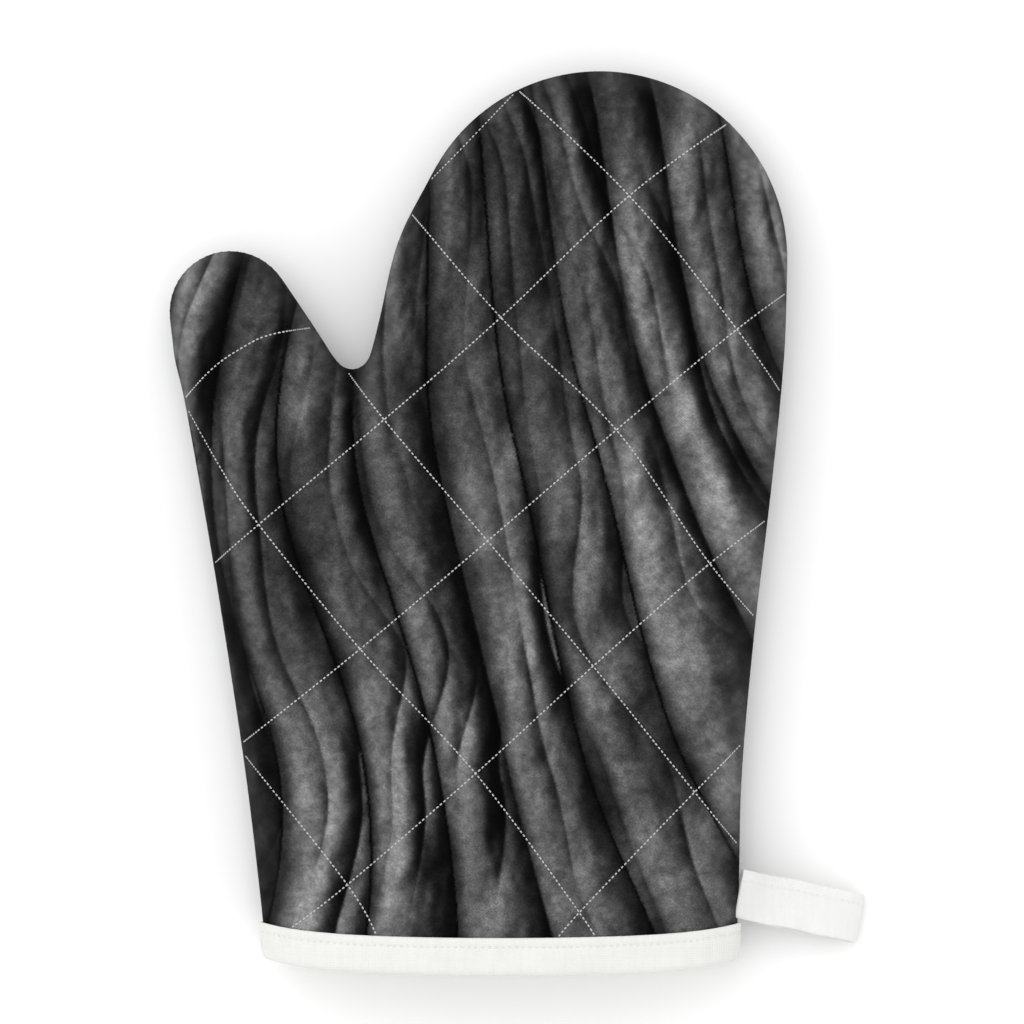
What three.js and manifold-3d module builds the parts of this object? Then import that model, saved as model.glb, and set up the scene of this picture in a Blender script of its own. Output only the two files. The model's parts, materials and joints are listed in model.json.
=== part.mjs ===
// Quilted oven mitt with a bound cuff and a hanging loop, lying on its back panel.
// Units are millimetres. +X runs from the thumb to the loop, +Y from the cuff to the fingertips and
// +Z up, through the mitt. The origin is on the supporting surface, under the middle of the mitt.
//
// Each half of the mitt is a sandwich of outer fabric, wadding and lining, held by rows of quilting
// thread. The halves meet at a seam plane that follows the outline, and stay open at the cuff, where
// one tape binds all the raw edges. A depth is measured inwards from the outer face of the mitt, so
// a layer is the space between two depths.
import * as THREE from "three";
import { mergeVertices } from "three/addons/utils/BufferGeometryUtils.js";
import Module from "manifold-3d";

const wasm = await Module();
wasm.setup();

// The outline in plan, at the seam plane.
const FINGERTIP = { x: 26.3, y: 82.3, r: 58.6 };
const THUMB_TIP = { x: -88.5, y: 65.8, r: 19.2 };
const CROTCH = { x: -50.6, y: 53.2, r: 5.6 };
const THUMB_SIDE = [[-79.8, -112], [-84.6, -73], [-93.4, -16], [-102.5, 36], [-105.9, 50.6]];
const FINGER_SIDE = [[-42.2, 64], [-36.4, 88]];
const LOOP_SIDE = [[83.8, 51], [80, 12], [74.6, -34], [70.7, -78], [69.8, -112]];
const CUFF_LOW_Y = -138.8; // the raw edge under the binding, at its lowest
const CUFF_RISE = 4.6; // how far the raw edge curves up at the sides
const CUFF_HALF_WIDTH = 74;

// Heights, with the mitt lying on the flat of its back.
const SEAM_Z = 16;
const FRONT_RISE = 18; // from the seam plane to the shoulder of the front face
const RIM = 18; // the width, in plan, of the rounding along the seam
const CROWN = 6; // how much more the front face rises towards the middle of the hand
const CROWN_DEPTH = 58; // the distance from the outline at which the crown is complete
const CINCH = 2.4; // how much the binding squeezes the cuff
const CINCH_END = 36; // the distance from the raw edge at which the squeeze ends

// Layers, as depths.
const GAP = 0.3; // the clearance between faces that touch
const OUTER = [0, 2.3];
const WADDING = [2.6, 5.2];
const LINING = [5.5, 6.2];
const TAPE = 0.7;
const FOLD = 0.7; // the slack between the raw edges and the fold of the tape

// Quilting: two sets of rows that cross about every 50.8 mm (2 in) and bend a little where the seams
// pull at them. Each row is a smooth line through its crossings, given past the outline at both ends.
const PITCH = 50.8;
const ROW_ANGLE = THREE.MathUtils.degToRad(41);
const ROW_CENTRE = new THREE.Vector2(-8.5, -5.4);
const STEPS_PER_PITCH = 4;
const RISING_ROWS = [
  [[9, -134], [20, -120.5], [55.7, -83.3], [78, -61]],
  [[-72, -127.5], [-52, -112], [-12.2, -77.5], [24.2, -44.2], [60.4, -12.4], [86, 7]],
  [[-92, -74], [-48, -38.9], [-8.5, -5.4], [31.4, 29], [68.8, 60.2], [96, 80]],
  [[-102, -20], [-79.5, -0.3], [-40.6, 32.2], [-4.4, 63.9], [35.4, 101.6], [74, 130]],
  [[-33, 100], [-16, 117], [2, 136]],
  [[-107, 34], [-94.5, 47.5], [-84.8, 54.4], [-75.3, 58.7], [-56, 62]],
];
const FALLING_ROWS = [
  [[-92, -62], [-52, -112], [-40, -134]],
  [[-107, 45], [-91.2, 17], [-79.5, -0.3], [-48, -38.9], [-12.2, -77.5], [19.9, -120.5], [28, -134]],
  [[-60, 58], [-40.6, 32.2], [-8.5, -5.4], [24.2, -44.2], [55.7, -83.3], [80, -113]],
  [[-42, 108], [-4.4, 63.9], [31.4, 29], [60.4, -12.4], [86, -42]],
  [[-9, 144], [35.4, 101.6], [68.8, 60.2], [94, 24]],
];
const GROOVE = 1.5; // how far a row pulls the front face down between its pillows
const THREAD = 0.26; // radius
const THREAD_DEPTH = [0.46, 1.3]; // the thread's centre below the back face, for each set of rows
const CHANNEL_HALF_WIDTH = 0.8; // the back's rows are sunk in channels, clear of what it lies on
const HUMP = { rise: 0.9, reach: 3.5 }; // where a front row passes over one of the other set
const ROW_END = 2.4; // a row stops this far from the outline in plan

// Seam, cuff binding and hanging loop.
const SEAM_OPENING = 1.4; // the valley along the seam between the two outer fabrics
const BINDING_WIDTH = 11.5;
const TOPSTITCH_FROM_EDGE = 2.6;
const LOOP = { y: -115.4, width: 15.3, length: 40, ply: 0.9, swell: 9.4, stub: 3.2 };
const LOOP_SKEW = -11.4; // degrees from +X, in plan
const LOOP_DROOP = -19.3; // degrees down from the seam plane

const smooth = (t) => THREE.MathUtils.smoothstep(t, 0, 1);
const rad = (degrees) => THREE.MathUtils.degToRad(degrees);
const vectors = (list) => list.map(([x, y]) => new THREE.Vector2(x, y));
const on = (c, degrees) => [c.x + c.r * Math.cos(rad(degrees)), c.y + c.r * Math.sin(rad(degrees))];

// --- plan -----------------------------------------------------------------------------------

/** The y of the raw edge of the cuff. */
function cuffEdge(x) {
  const t = Math.abs(x + 4) / CUFF_HALF_WIDTH;
  return CUFF_LOW_Y + CUFF_RISE * (0.45 * t ** 2 + 0.55 * t ** 6);
}

/** The curve of a side edge below the first straight stretch, down to the raw edge. */
function cuffCorner([x, y], slope) {
  return [x + slope * (y - cuffEdge(x)), cuffEdge(x)];
}

/** Outline points and their inward normals, from the thumb side of the cuff to the loop side. */
function outline() {
  const path = new THREE.Path();
  const start = cuffCorner(THUMB_SIDE[0], 0.1);
  path.moveTo(...start);
  path.splineThru(vectors([...THUMB_SIDE, on(THUMB_TIP, 195)]));
  path.absarc(THUMB_TIP.x, THUMB_TIP.y, THUMB_TIP.r, rad(195), rad(30), true);
  path.splineThru(vectors([[-62.9, 62.1], on(CROTCH, 215)]));
  path.absarc(CROTCH.x, CROTCH.y, CROTCH.r, rad(215), rad(345), false);
  path.splineThru(vectors([...FINGER_SIDE, on(FINGERTIP, 152)]));
  path.absarc(FINGERTIP.x, FINGERTIP.y, FINGERTIP.r, rad(152), rad(-2), true);
  path.splineThru(vectors([...LOOP_SIDE, cuffCorner(LOOP_SIDE.at(-1), -0.04)]));
  const spacing = [14, 7.5, 10, 4.2, 12, 13, 14];
  const points = [];
  path.curves.forEach((curve, i) => {
    const steps = Math.max(1, Math.round(curve.getLength() / spacing[i]));
    for (let s = i ? 1 : 0; s <= steps; s++) {
      const p = curve.getPointAt(s / steps);
      const t = curve.getTangentAt(s / steps);
      points.push({ x: p.x, y: p.y, d: 0, nx: t.y, ny: -t.x });
    }
  });
  return points;
}

/** Distance from a point to the outline, with the sides carried on past the cuff. */
function edgeDistance(x, y, edge) {
  let best = Infinity;
  for (let i = 1; i < edge.length; i++) {
    const a = edge[i - 1];
    const b = edge[i];
    const [dx, dy] = [b.x - a.x, b.y - a.y];
    const from = i === 1 ? -9 : 0;
    const to = i === edge.length - 1 ? 9 : 1;
    const t = THREE.MathUtils.clamp(((x - a.x) * dx + (y - a.y) * dy) / (dx * dx + dy * dy), from, to);
    best = Math.min(best, Math.hypot(x - a.x - t * dx, y - a.y - t * dy));
  }
  return best;
}

const RINGS = [0, 2.4, 8, RIM]; // distances from the outline
const BAND = [0, 12.2, 25]; // rows of points across the cuff, as distances from the raw edge
const BAND_STEPS = 8;

/** Where a side of the outline is a given distance above the raw edge. */
function sideAt(points, above) {
  const i = points.findIndex((p) => p.y - cuffEdge(p.x) >= above);
  if (i === 0) return points[0];
  const [a, b] = [points[i - 1], points[i]];
  const [ha, hb] = [a.y - cuffEdge(a.x), b.y - cuffEdge(b.x)];
  const t = (above - ha) / (hb - ha);
  const mix = (k) => a[k] + t * (b[k] - a[k]);
  return { x: mix("x"), y: mix("y"), d: 0, nx: mix("nx"), ny: mix("ny") };
}

/** One row of points across the cuff, from the thumb side to the loop side. */
function bandRow(edge, above) {
  const left = sideAt(edge, above);
  const right = sideAt([...edge].reverse(), above);
  const at = (x, d, n) => ({ x, y: cuffEdge(x) + above, d, nx: n.nx, ny: n.ny });
  const rim = RINGS.slice(1);
  const row = [left, ...rim.map((d) => at(left.x + d, d, left))];
  const [from, to] = [left.x + RIM, right.x - RIM];
  for (let i = 1; i < BAND_STEPS; i++) {
    const x = from + ((to - from) * i) / BAND_STEPS;
    row.push(at(x, Math.min(x - left.x, right.x - x), left));
  }
  row.push(...rim.reverse().map((d) => at(right.x - d, d, right)), right);
  return row;
}

/** Everything that shapes the mitt in plan: its points, its outline and its triangles. */
function makePlan() {
  const whole = outline();
  const top = BAND.at(-1);
  const rows = BAND.map((above) => bandRow(whole, above));
  const rest = whole.filter((p) => p.y - cuffEdge(p.x) > top + 5);
  const edge = [...rows.map((r) => r[0]), ...rest, ...rows.map((r) => r.at(-1)).reverse()];
  const upper = [...rows.at(-1), ...rest];
  const clear = (p, gap) => upper.every((q) => Math.hypot(p.x - q.x, p.y - q.y) > gap);
  const free = (p) => p.y - cuffEdge(p.x) > top + 5;
  for (const d of RINGS.slice(1)) {
    for (const p of rest) {
      const q = { ...p, x: p.x + d * p.nx, y: p.y + d * p.ny, d };
      if (free(q) && edgeDistance(q.x, q.y, edge) > d - 0.25 && clear(q, 1.2 + 0.24 * d)) upper.push(q);
    }
  }
  for (const q of lattice()) {
    const d = edgeDistance(q.x, q.y, edge);
    const deep = inside(q, edge) && d > RIM + 1.5;
    if (deep && free(q) && clear(q, 5)) upper.push({ x: q.x, y: q.y, d, nx: 0, ny: 0 });
  }
  const hull = [...rest, ...[...rows.at(-1)].reverse()];
  const triangles = triangulate(upper, hull);
  const points = [...upper, ...rows.slice(0, -1).flat()];
  for (const p of points) p.toRow = rowDistance(p.x, p.y, [...rising, ...falling]);
  triangles.push(...bandTriangles(rows, points));
  return { edge, rows, points, triangles, border: borderOf(triangles) };
}

/** Points spaced so that every quilting row runs through some of them. */
function lattice() {
  const step = PITCH / STEPS_PER_PITCH;
  const found = [];
  for (let i = -12; i <= 12; i++) {
    for (let j = -12; j <= 12; j++) {
      const q = new THREE.Vector2(i * step, j * step).rotateAround(new THREE.Vector2(), ROW_ANGLE);
      found.push(q.add(ROW_CENTRE));
    }
  }
  return found;
}

/** The triangles of the cuff band, in straight columns that the binding can follow. */
function bandTriangles(rows, points) {
  const triangles = [];
  for (let r = 1; r < rows.length; r++) {
    for (let i = 1; i < rows[r].length; i++) {
      const corners = [rows[r - 1][i - 1], rows[r - 1][i], rows[r][i], rows[r][i - 1]];
      const [a, b, c, d] = corners.map((p) => points.indexOf(p));
      triangles.push([a, b, c], [a, c, d]);
    }
  }
  return triangles;
}

function inside(p, polygon) {
  let within = false;
  polygon.forEach((a, i) => {
    const b = polygon[(i + 1) % polygon.length];
    const crosses = a.y > p.y !== b.y > p.y;
    if (crosses && p.x < a.x + ((b.x - a.x) * (p.y - a.y)) / (b.y - a.y)) within = !within;
  });
  return within;
}

/** Delaunay triangles of a set of points, those outside a polygon left out. */
function triangulate(points, polygon) {
  const far = 1e5;
  const nudge = (turn) => 1e-4 * Math.sin(turn);
  const all = points.map((p, i) => ({ x: p.x + nudge(i * 12.9), y: p.y + nudge(i * 7.3) }));
  const n = all.length;
  all.push({ x: -far, y: -far }, { x: far, y: -far }, { x: 0, y: far });
  let triangles = [circle(all, n, n + 1, n + 2)];
  for (let i = 0; i < n; i++) {
    const p = all[i];
    const hit = triangles.filter((t) => Math.hypot(p.x - t.cx, p.y - t.cy) < t.r);
    const sides = hit.flatMap(({ v: [a, b, c] }) => [[a, b], [b, c], [c, a]]);
    const rim = sides.filter(([a, b]) => !sides.some(([c, d]) => c === b && d === a));
    triangles = triangles.filter((t) => !hit.includes(t));
    triangles.push(...rim.map(([a, b]) => circle(all, a, b, i)));
  }
  const kept = triangles.map((t) => t.v).filter((v) => v.every((k) => k < n));
  return kept.filter((v) => inside({ x: mean(all, v, "x"), y: mean(all, v, "y") }, polygon));
}

const mean = (all, v, k) => (all[v[0]][k] + all[v[1]][k] + all[v[2]][k]) / 3;

function circle(all, i, j, k) {
  const [a, b, c] = [all[i], all[j], all[k]];
  const [bx, by, cx, cy] = [b.x - a.x, b.y - a.y, c.x - a.x, c.y - a.y];
  const d = 2 * (bx * cy - by * cx);
  const ux = (cy * (bx * bx + by * by) - by * (cx * cx + cy * cy)) / d;
  const uy = (bx * (cx * cx + cy * cy) - cx * (bx * bx + by * by)) / d;
  return { v: [i, j, k], cx: a.x + ux, cy: a.y + uy, r: Math.hypot(ux, uy) };
}

// --- the shape through the thickness --------------------------------------------------------

/** The points of a row, about a millimetre apart. */
function rowPoints(row) {
  const curve = new THREE.SplineCurve(vectors(row));
  return curve.getSpacedPoints(Math.round(curve.getLength()));
}

const rising = RISING_ROWS.map(rowPoints);
const falling = FALLING_ROWS.map(rowPoints);

/** Distance from a plan point to the nearest of some rows. */
function rowDistance(x, y, rows) {
  return Math.min(...rows.flat().map((q) => Math.hypot(q.x - x, q.y - y)));
}

/** The place of a plan point on the surface at a depth, on the front (side 1) or the back (-1). */
function place(p, depth, side, seam = GAP / 2) {
  const cos = Math.max(0, 1 - p.d / RIM);
  const sin = Math.sqrt(1 - cos * cos);
  const x = p.x + depth * cos * p.nx;
  const y = p.y + depth * cos * p.ny;
  const free = smooth((p.y - cuffEdge(p.x) - BAND[1]) / (CINCH_END - BAND[1]));
  let rise = (side > 0 ? FRONT_RISE : SEAM_Z) - depth - CINCH * (1 - free);
  if (side < 0) return new THREE.Vector3(x, y, SEAM_Z - seam - (rise - seam) * sin);
  const sunk = GROOVE * free * smooth((p.d - RIM) / 6) * (1 - smooth(p.toRow / (PITCH / 4)));
  rise += CROWN * smooth(p.d / CROWN_DEPTH) - sunk * (1 - (0.6 * depth) / LINING[1]);
  return new THREE.Vector3(x, y, SEAM_Z + seam + (rise - seam) * sin);
}

/** A closed mesh from a list of triangles given by their corners. */
function closed(corners) {
  const raw = new THREE.BufferGeometry().setFromPoints(corners);
  return mergeVertices(raw, 1e-4);
}

/** One layer of one half: the two faces and the edge that joins them. */
function layer(plan, [near, far], side, seam) {
  const skin = (depth) => plan.points.map((p) => place(p, depth, side, seam));
  const [outside, within] = [skin(near), skin(far)];
  const corners = [];
  for (const [a, b, c] of plan.triangles) {
    corners.push(outside[a], outside[b], outside[c], within[a], within[c], within[b]);
  }
  for (const [a, b] of plan.border) {
    corners.push(outside[a], within[b], outside[b], outside[a], within[a], within[b]);
  }
  return closed(side < 0 ? corners.reverse() : corners);
}

function borderOf(triangles) {
  const sides = triangles.flatMap(([a, b, c]) => [[a, b], [b, c], [c, a]]);
  const seen = new Set(sides.map(([a, b]) => a + "," + b));
  return sides.filter(([a, b]) => !seen.has(b + "," + a));
}

/** The point of a face above or below a place in plan, and the face's normal there. */
function faceAt(plan, skin, { x, y }) {
  for (const [i, j, k] of plan.triangles) {
    const [a, b, c] = [skin[i], skin[j], skin[k]];
    const ab = b.clone().sub(a);
    const ac = c.clone().sub(a);
    const area = ab.x * ac.y - ab.y * ac.x;
    const u = ((x - a.x) * ac.y - (y - a.y) * ac.x) / area;
    const v = (ab.x * (y - a.y) - ab.y * (x - a.x)) / area;
    if (u < 0 || v < 0 || u + v > 1) continue;
    const normal = ab.clone().cross(ac).normalize();
    return { point: a.clone().addScaledVector(ab, u).addScaledVector(ac, v), normal };
  }
  return null;
}

// --- thread ---------------------------------------------------------------------------------

/** The part of every quilting row that is sewn, in plan. */
function quiltingRows(plan) {
  const sewn = (p) => {
    if (p.y < cuffEdge(p.x) + BINDING_WIDTH + 1.4 || !inside(p, plan.edge)) return false;
    return edgeDistance(p.x, p.y, plan.edge) > ROW_END;
  };
  const stretches = (row, number) => runs(row, sewn).map((run) => ({ run, set: number }));
  const set = (rows, number) => rows.flatMap((row) => stretches(row, number));
  return [...set(rising, 0), ...set(falling, 1)];
}

/** The stretches of a list in which every item passes a test. */
function runs(list, test) {
  const found = [[]];
  for (const item of list) {
    if (test(item)) found.at(-1).push(item);
    else if (found.at(-1).length) found.push([]);
  }
  return found.filter((run) => run.length > 3);
}

/** A path that follows a face at a height above it, with the face's normal at each point. */
function pathOn(plan, skin, run, height) {
  const at = run.map((p) => faceAt(plan, skin, p)).filter(Boolean);
  const path = at.map(({ point }, i) => {
    const near = at.slice(Math.max(0, i - 2), i + 3);
    const normal = near.reduce((sum, q) => sum.add(q.normal), new THREE.Vector3()).normalize();
    return { point: point.clone().addScaledVector(normal, height(point)), normal };
  });
  return simplify(path, 0.07);
}

/** How high a front row of a set runs above the face, with a hump over each row it crosses. */
function frontHeight(set) {
  return ({ x, y }) => {
    if (set === 0) return GAP + THREAD;
    return GAP + THREAD + HUMP.rise * (1 - smooth((rowDistance(x, y, rising) - 1) / HUMP.reach));
  };
}

/** A path without the points that a straight line between its neighbours already passes. */
function simplify(path, tolerance) {
  const [a, b] = [path[0].point, path.at(-1).point];
  const line = new THREE.Line3(a, b);
  const foot = new THREE.Vector3();
  const off = path.map(({ point }) => line.closestPointToPoint(point, true, foot).distanceTo(point));
  const worst = off.indexOf(Math.max(...off));
  if (off[worst] < tolerance || path.length < 3) return [path[0], path.at(-1)];
  const first = simplify(path.slice(0, worst + 1), tolerance);
  return [...first.slice(0, -1), ...simplify(path.slice(worst), tolerance)];
}

/** A bar of constant section along a path. The section's points are [across, away from the face]. */
function bar(path, section, looped = false) {
  const last = path.length - 1;
  const rings = path.map(({ point, normal }, i) => {
    const before = path[i ? i - 1 : looped ? last : 0].point;
    const after = path[i < last ? i + 1 : looped ? 0 : last].point;
    const tangent = after.clone().sub(before).normalize();
    const side = tangent.clone().cross(normal).normalize();
    const up = side.clone().cross(tangent);
    return section.map(([s, u]) => point.clone().addScaledVector(side, s).addScaledVector(up, u));
  });
  return wrap(rings, looped);
}

/** A closed mesh through rings of points, with its ends filled, or its last ring joined to its first. */
function wrap(rings, looped = false) {
  const corners = [];
  const n = rings[0].length;
  const pairs = rings.slice(1).map((ring, i) => [rings[i], ring]);
  if (looped) pairs.push([rings.at(-1), rings[0]]);
  for (const [a, b] of pairs) {
    for (let i = 0; i < n; i++) {
      const j = (i + 1) % n;
      corners.push(a[i], a[j], b[j], a[i], b[j], b[i]);
    }
  }
  if (!looped) {
    for (let i = 2; i < n; i++) {
      corners.push(rings[0][0], rings[0][i], rings[0][i - 1]);
      corners.push(rings.at(-1)[0], rings.at(-1)[i - 1], rings.at(-1)[i]);
    }
  }
  return facingOut(closed(corners));
}

function facingOut(geometry) {
  if (solid(geometry).volume() > 0) return geometry;
  const index = geometry.index.array;
  index.reverse();
  return geometry;
}

function roundSection(radius, sides = 4) {
  return Array.from({ length: sides }, (_, i) => {
    const turn = (2 * Math.PI * i) / sides + Math.PI / 2;
    return [radius * Math.cos(turn), radius * Math.sin(turn)];
  });
}

// --- joining and cutting --------------------------------------------------------------------

function solid(geometry) {
  return new wasm.Manifold(
    new wasm.Mesh({
      numProp: 3,
      vertProperties: geometry.attributes.position.array,
      triVerts: new Uint32Array(geometry.index.array),
    }),
  );
}

function geometryOf(body) {
  const mesh = body.getMesh();
  const geometry = new THREE.BufferGeometry();
  geometry.setAttribute("position", new THREE.BufferAttribute(mesh.vertProperties, 3));
  geometry.setIndex(new THREE.BufferAttribute(mesh.triVerts, 1));
  return geometry;
}

function cut(geometry, tools) {
  return geometryOf(tools.reduce((body, tool) => body.subtract(solid(tool)), solid(geometry)));
}

// --- materials ------------------------------------------------------------------------------

const fabric = (color, roughness) => new THREE.MeshStandardMaterial({ color, roughness, metalness: 0 });
const printedCotton = fabric(0x4a4a4a, 0.92);
const battingWhite = fabric(0xe9e6dd, 1);
const liningCotton = fabric(0xe4e1d8, 0.95);
const bindingTape = fabric(0xeeefe6, 0.9);
const whiteThread = fabric(0xf4f4f0, 0.7);
const greyThread = fabric(0x6f6f6f, 0.7);

function piece(name, geometry, material) {
  const flat = geometry.toNonIndexed();
  flat.computeVertexNormals();
  const mesh = new THREE.Mesh(flat, material);
  mesh.name = name;
  return mesh;
}

// --- the pieces -----------------------------------------------------------------------------

/** The outer fabric of the back, with a sunk channel under every quilting row. */
function backOuter(plan, rows) {
  const skin = plan.points.map((p) => place(p, 0, -1, SEAM_OPENING / 2));
  const w = CHANNEL_HALF_WIDTH;
  const tools = rows.map(({ run, set }) => {
    const floor = THREAD_DEPTH[set] + THREAD + GAP;
    const path = stretched(downward(pathOn(plan, skin, run, () => 0)));
    return bar(path, [[-w, 1.5], [w, 1.5], [w, -floor], [-w, -floor]]);
  });
  return cut(layer(plan, OUTER, -1, SEAM_OPENING / 2), tools);
}

/** The same path with its normals turned over, for a face that looks down. */
function downward(path) {
  return path.map(({ point, normal }) => ({ point, normal: normal.clone().negate() }));
}

/** A path made a little longer at both ends. */
function stretched(path) {
  const grown = path.map((p) => ({ ...p, point: p.point.clone() }));
  const extend = (end, next) => end.add(end.clone().sub(next).setLength(0.6));
  extend(grown[0].point, path[1].point);
  extend(grown.at(-1).point, path.at(-2).point);
  return grown;
}

function quiltingThreads(plan, rows, side) {
  const skin = plan.points.map((p) => place(p, 0, side, SEAM_OPENING / 2));
  const name = side > 0 ? "front" : "back";
  return rows.map(({ run, set }, i) => {
    const path = pathOn(plan, skin, run, side > 0 ? frontHeight(set) : () => THREAD_DEPTH[set]);
    const number = String(i + 1).padStart(2, "0");
    return piece(`${name}_quilting_row_${number}`, bar(path, roundSection(THREAD)), whiteThread);
  });
}

/** The thread of the seam that joins the halves, lying in the valley between the outer fabrics. */
function seamThread(plan) {
  const path = plan.edge.map((p) => ({
    point: new THREE.Vector3(p.x + 0.9 * p.nx, p.y + 0.9 * p.ny, SEAM_Z),
    normal: new THREE.Vector3(0, 0, 1),
  }));
  return bar(path, roundSection(0.32));
}

/** A point of the cuff: a station of the mouth, a depth and a height above the raw edge. */
function cuffPoint([low, high, side], depth, above) {
  const a = place(low, depth, side);
  const b = place(high, depth, side);
  return a.lerp(b, above / BAND[1]);
}

/** The stations round the mouth: along the front from thumb to loop, then back along the back. */
function mouth(plan) {
  const [low, high] = plan.rows;
  const front = low.map((p, i) => [p, high[i], 1]);
  const back = low.map((p, i) => [p, high[i], -1]).reverse();
  return [...front, ...back];
}

/** The tape folded over the raw edges, outside and inside the mouth. */
function cuffBinding(plan) {
  const [out, inn] = [-GAP, LINING[1] + GAP];
  const base = -FOLD - TAPE;
  const top = BINDING_WIDTH + base;
  const profile = [
    [out - TAPE, top], [out - TAPE, base + 0.6 * TAPE], [out, base],
    [inn, base], [inn + TAPE, base + 0.6 * TAPE], [inn + TAPE, top],
    [inn, top], [inn, -FOLD], [out, -FOLD], [out, top],
  ];
  return wrap(mouth(plan).map((station) => profile.map(([k, y]) => cuffPoint(station, k, y))), true);
}

/** A row of stitching round the mouth, on the outer leg of the tape or on the inner one. */
function topstitch(plan, outside) {
  const proud = GAP + 0.34;
  const depth = outside ? -GAP - TAPE - proud : LINING[1] + GAP + TAPE + proud;
  const above = BINDING_WIDTH - FOLD - TAPE - TOPSTITCH_FROM_EDGE;
  const path = mouth(plan).map((station) => ({
    point: cuffPoint(station, depth, above),
    normal: new THREE.Vector3(0, 1, 0),
  }));
  return bar(path, roundSection(THREAD), true);
}

/** The edge of a loop of tape seen from its side, as half heights along its length. */
function loopHalf(shrink) {
  const half = LOOP.swell / 2;
  const end = LOOP.length - shrink;
  const from = LOOP.stub + 4 * shrink;
  return [[from, shrink ? 0.12 : LOOP.ply], [13, half * 0.75 - shrink], [25, half - shrink],
    [34, half * 0.86 - shrink], [end - 1.1, half * 0.42 - shrink * 0.5], [end, 0]];
}

/** The hanging loop lying along +X from its root, before it is turned into place. */
function flatLoop() {
  const trace = (path, half) => {
    path.splineThru(vectors(half.slice(1).map(([x, z]) => [x, -z])));
    path.splineThru(vectors(half.slice(0, -1).reverse()));
  };
  const shape = new THREE.Shape();
  shape.moveTo(-2.5, -LOOP.ply);
  shape.lineTo(LOOP.stub, -LOOP.ply);
  trace(shape, loopHalf(0));
  shape.lineTo(-2.5, LOOP.ply);
  const eye = new THREE.Path();
  const inner = loopHalf(LOOP.ply);
  eye.moveTo(inner[0][0], -inner[0][1]);
  trace(eye, inner);
  shape.holes.push(eye);
  const settings = { depth: LOOP.width, bevelEnabled: false, curveSegments: 2 };
  const geometry = new THREE.ExtrudeGeometry(shape, settings);
  geometry.translate(0, 0, -LOOP.width / 2).rotateX(Math.PI / 2);
  geometry.deleteAttribute("normal").deleteAttribute("uv");
  return mergeVertices(geometry, 1e-4);
}

/** Where the loop leaves the seam. */
function loopRoot(plan) {
  const side = [...plan.edge].reverse();
  return sideAt(side, LOOP.y - cuffEdge(70)).x + 0.8;
}

/** Turns a piece of the loop from along +X into its place at the seam. */
function seatLoop(geometry, rootX) {
  geometry.rotateZ(rad(LOOP_SKEW));
  geometry.rotateY(rad(-LOOP_DROOP));
  return geometry.translate(rootX, LOOP.y, SEAM_Z);
}

function hangingLoop(rootX) {
  const clearance = new THREE.BoxGeometry(12, 40, 12).translate(-6 + 0.3, 0, 0);
  clearance.deleteAttribute("normal").deleteAttribute("uv");
  const body = flatLoop().rotateZ(rad(LOOP_SKEW));
  const trimmed = cut(body, [mergeVertices(clearance)]).rotateZ(rad(-LOOP_SKEW));
  return seatLoop(trimmed, rootX);
}

/** The row of stitching along the loop's upper ply. */
function loopStitch(rootX) {
  const half = loopHalf(0).slice(0, -1);
  const curve = new THREE.CatmullRomCurve3(half.map(([x, z]) => new THREE.Vector3(x, 4.4, z)));
  const path = curve.getPoints(12).map((point) => ({ point, normal: new THREE.Vector3(0, 0, 1) }));
  const lift = GAP + 0.3 + 0.12;
  return seatLoop(bar(path, roundSection(0.3).map(([s, u]) => [s, u + lift])), rootX);
}

function build() {
  const plan = makePlan();
  const rows = quiltingRows(plan);
  const rootX = loopRoot(plan);
  const group = new THREE.Group();
  group.add(
    piece("front_outer_panel", layer(plan, OUTER, 1, SEAM_OPENING / 2), printedCotton),
    piece("back_outer_panel", backOuter(plan, rows), printedCotton),
    piece("front_wadding", layer(plan, WADDING, 1), battingWhite),
    piece("back_wadding", layer(plan, WADDING, -1), battingWhite),
    piece("front_lining", layer(plan, LINING, 1), liningCotton),
    piece("back_lining", layer(plan, LINING, -1), liningCotton),
    piece("seam_thread", seamThread(plan), greyThread),
    piece("cuff_binding", cuffBinding(plan), bindingTape),
    piece("binding_stitch_outside", topstitch(plan, true), whiteThread),
    piece("binding_stitch_inside", topstitch(plan, false), whiteThread),
    ...quiltingThreads(plan, rows, 1),
    ...quiltingThreads(plan, rows, -1),
    piece("hanging_loop", hangingLoop(rootX), bindingTape),
    piece("loop_stitch", loopStitch(rootX), whiteThread),
  );
  const box = new THREE.Box3().setFromObject(group);
  const middle = box.getCenter(new THREE.Vector3());
  group.position.set(-middle.x, -middle.y, 0);
  return group;
}

const group = build();
export default group;
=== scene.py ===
"""A quilted oven mitt lying on a pale floor, seen from straight above."""
import json
import math

import bpy
import numpy as np
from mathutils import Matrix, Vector
from mathutils.bvhtree import BVHTree
from mathutils.geometry import delaunay_2d_cdt
from mathutils.kdtree import KDTree


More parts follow.
